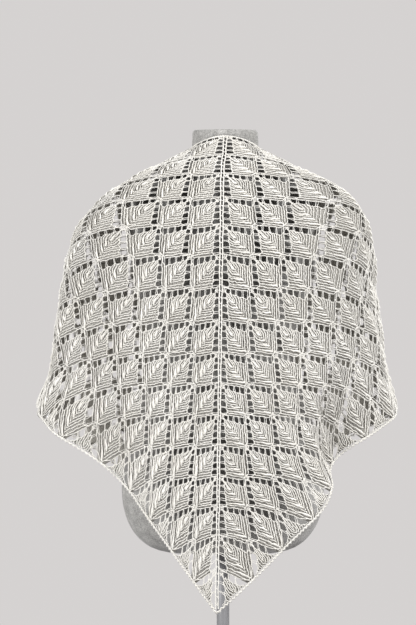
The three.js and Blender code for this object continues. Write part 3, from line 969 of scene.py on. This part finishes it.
def lower_edge_yarn():
    """The rounded bind-off: a row of chain loops round a filling strand."""
    s = np.arange(BIND_START, CELLS_DEEP, BIND_STITCH)
    scallop = np.cos(math.pi / 2 * np.arange(len(s)))
    reach = BIND_REACH + BIND_SCALLOP * scallop
    runs = []
    faces = []
    for side in (-1, 1):
        runs.append(on_cloth(side, s + reach, CELLS_DEEP - s + reach, np.full(len(s), BIND_OUT)))
        faces.append(facing(draped, side, s, CELLS_DEEP - s))
    tip = on_cloth(-1, np.zeros(1), np.full(1, CELLS_DEEP + BIND_START), np.full(1, BIND_OUT))
    centre, across, up = along_edge(*runs, *faces, middle=(tip,))
    bumps = 1 + BIND_BUMPS * np.concatenate([scallop[::-1], [1], scallop])
    chains = twisted(centre, across, up, BIND_WIND, BIND_PLY, BIND_PITCH, 3)
    chains.append(np.column_stack([centre, np.full(len(centre), BIND_FILLING)]))
    for chain in chains:
        chain[:, 3] *= bumps
    return chains


def lathe_piece(name, rings, finish):
    """A closed piece through rings of points, with both ends filled."""
    rings = np.array(rings)
    count, around, _ = rings.shape
    faces = []
    for low in range(0, (count - 1) * around, around):
        high = low + around
        for m in range(around):
            n = (m + 1) % around
            faces.append((low + m, low + n, high + n, high + m))
    faces.append(tuple(range(around))[::-1])
    faces.append(tuple((count - 1) * around + m for m in range(around)))
    piece = joined(name, rings.reshape(-1, 3), faces, finish)
    for face in piece.data.polygons[-2:]:
        face.use_smooth = False
    return piece


# The form's ends, its eased rims, and where the neck is set over to one side
FORM_LOW, FORM_TOP = 250, 990
FORM_SIDES = 96
LOW_EASE, TOP_EASE = 3, 4
NECK_SHIFT_FROM, NECK_SHIFT_OVER = 850, 100


def form_piece():
    """The limbless torso and neck, smooth all over, with eased rims at both ends."""
    read = {column: reader(FORM, column) for column in ("wide", "back", "front", "square")}
    low = [FORM_LOW, 250.6, 252]
    heights = low + list(range(255, 985, 5)) + [985, 988.4, 989.6, FORM_TOP]
    turn = np.linspace(0, 2 * math.pi, FORM_SIDES, endpoint=False)
    rings = []
    for height in heights:
        pull = TOP_EASE * max(0, 1 - (FORM_TOP - height) / TOP_EASE) ** 2
        pull += LOW_EASE * max(0, 1 - (height - FORM_LOW) / LOW_EASE) ** 2
        power = 2 / float(read["square"](height))
        across = np.sign(np.cos(turn)) * np.abs(np.cos(turn)) ** power
        depth = np.sign(np.sin(turn)) * np.abs(np.sin(turn)) ** power
        deep = np.where(depth < 0, read["back"](height), read["front"](height)) - pull
        shift = NECK_CENTRE * smooth((height - NECK_SHIFT_FROM) / NECK_SHIFT_OVER)
        x = (float(read["wide"](height)) - pull) * across + shift
        rings.append(np.stack([x, deep * depth, np.full(FORM_SIDES, height)], 1))
    return lathe_piece("felt_form", rings, felt)


# Radius and height along the stand's two turned parts
POLE = ((10.2, 12.3), (11, 12.9), (11, 249.1), (10.2, 249.7))
BASE = ((168, 0), (170, 1.2), (170, 8), (169.2, 10.4), (166, 12))


def turned_piece(name, profile, around, finish):
    """A round piece turned from a profile of radius and height."""
    turn = np.linspace(0, 2 * math.pi, around, endpoint=False)
    round_line = np.stack([np.cos(turn), np.sin(turn)], 1)
    rings = [np.column_stack([r * round_line, np.full(around, z)]) for r, z in profile]
    return lathe_piece(name, rings, finish)


# The room: its light on the object, and the lamps with their place, size and power. The floor
# ends just below the picture's lower edge.
FLOOR_RADIUS = 2.6
ROOM_COLOUR = (0.98, 0.95, 0.94, 1)
ROOM_LIGHT, ROOM_SEEN = 0.22, 0.68
LAMP_AIM = (0, 0, 0.6)
LAMPS = (
    ("key", (2.6, -2.2, 2.4), 0.8, 136),
    ("fill", (-3.0, -2.0, 1.8), 1.6, 126),
    ("behind", (0.8, 2.8, 2.4), 1.6, 80),
)


def stage_set():
    """A plain pale floor, soft lights and the pale room round them."""
    mesh = bpy.data.meshes.new("floor")
    turn = np.linspace(0, 2 * math.pi, 96, endpoint=False)
    edge = [(FLOOR_RADIUS * math.cos(a), FLOOR_RADIUS * math.sin(a), 0) for a in turn]
    mesh.from_pydata(edge, [], [tuple(range(96))])
    floor = bpy.data.objects.new("floor", mesh)
    bpy.context.scene.collection.objects.link(floor)
    paint = Finish("pale_floor", rough=0.9)
    paint.set(Base_Color=(0.38, 0.373, 0.376, 1))
    mesh.materials.append(paint.material)
    world = bpy.data.worlds.new("pale room")
    world.use_nodes = True
    backdrop = world.node_tree.nodes["Background"]
    backdrop.inputs["Color"].default_value = ROOM_COLOUR
    sight = world.node_tree.nodes.new("ShaderNodeLightPath")
    level = world.node_tree.nodes.new("ShaderNodeMapRange")
    level.inputs["To Min"].default_value = ROOM_LIGHT
    level.inputs["To Max"].default_value = ROOM_SEEN
    world.node_tree.links.new(sight.outputs["Is Camera Ray"], level.inputs["Value"])
    world.node_tree.links.new(level.outputs["Result"], backdrop.inputs["Strength"])
    bpy.context.scene.world = world
    for name, place, size, power in LAMPS:
        lamp = bpy.data.lights.new(name, "AREA")
        lamp.size = size
        lamp.energy = power
        holder = bpy.data.objects.new(name, lamp)
        bpy.context.scene.collection.objects.link(holder)
        holder.location = place
        aim = np.array(LAMP_AIM) - np.array(place)
        holder.rotation_euler = (math.atan2(math.hypot(aim[0], aim[1]), -aim[2]), 0,
                                 math.atan2(-aim[0], aim[1]))


# The picture's size in pixels, the millimetres in a pixel, where it shows the spine and the top
# of the neck, and how far off the camera stands
PICTURE_WIDE, PICTURE_TALL = 416, 625
PIXEL = 1.75
SPINE_AT, NECK_TOP_AT = 223, 130
CAMERA_FAR = 12.0


def photo_camera():
    """Level, straight at the back, as far off as keeps the widths true."""
    lens = bpy.data.cameras.new("camera")
    lens.lens = lens.sensor_width * CAMERA_FAR / (PICTURE_TALL * PIXEL * MM)
    camera = bpy.data.objects.new("camera", lens)
    bpy.context.scene.collection.objects.link(camera)
    x = (PICTURE_WIDE / 2 - SPINE_AT) * PIXEL
    z = FORM_TOP - (PICTURE_TALL / 2 - NECK_TOP_AT) * PIXEL
    camera.location = (x * MM, -CAMERA_FAR, z * MM)
    camera.rotation_euler = (math.radians(90), 0, 0)
    bpy.context.scene.camera = camera


bpy.context.scene.view_settings.view_transform = "Standard"
photo_camera()
stage_set()

pieces = []
for side, name in ((-1, "left"), (1, "right")):
    wales = spin_yarn("wales_" + name, lay_square_yarn(side, (0,)), 4)
    ladders = spin_yarn("ladders_" + name, lay_square_yarn(side, (1,)), 3)
    bands = spin_yarn("eyelets_" + name, lay_square_yarn(side, (2, 3)), 4)
    ground = purl_ground("purl_" + name, side)
    with bpy.context.temp_override(active_object=ground, object=ground,
                                   selected_objects=[ground, bands],
                                   selected_editable_objects=[ground, bands]):
        bpy.ops.object.join()
    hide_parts("wing_" + name)
    pieces += [ground, wales, ladders]
spine = spin_yarn("spine_yarn", spine_yarn(), 6)
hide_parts("centre_spine")
top_edge = spin_yarn("neck_yarn", top_edge_yarn(), 6)
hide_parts("neck_edge")
lower_edge = spin_yarn("bind_off_yarn", lower_edge_yarn(), 5)
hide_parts("lower_edge")
form = form_piece()
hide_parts("dress_form")
pole = turned_piece("enamel_pole", POLE, 48, enamel)
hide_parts("stand_pole")
base = turned_piece("enamel_base", BASE, 128, enamel)
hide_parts("stand_base")
for piece in pieces + [spine, top_edge, lower_edge]:
    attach(piece, "root")
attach(form, "root")
for piece in (pole, base):
    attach(piece, "root")
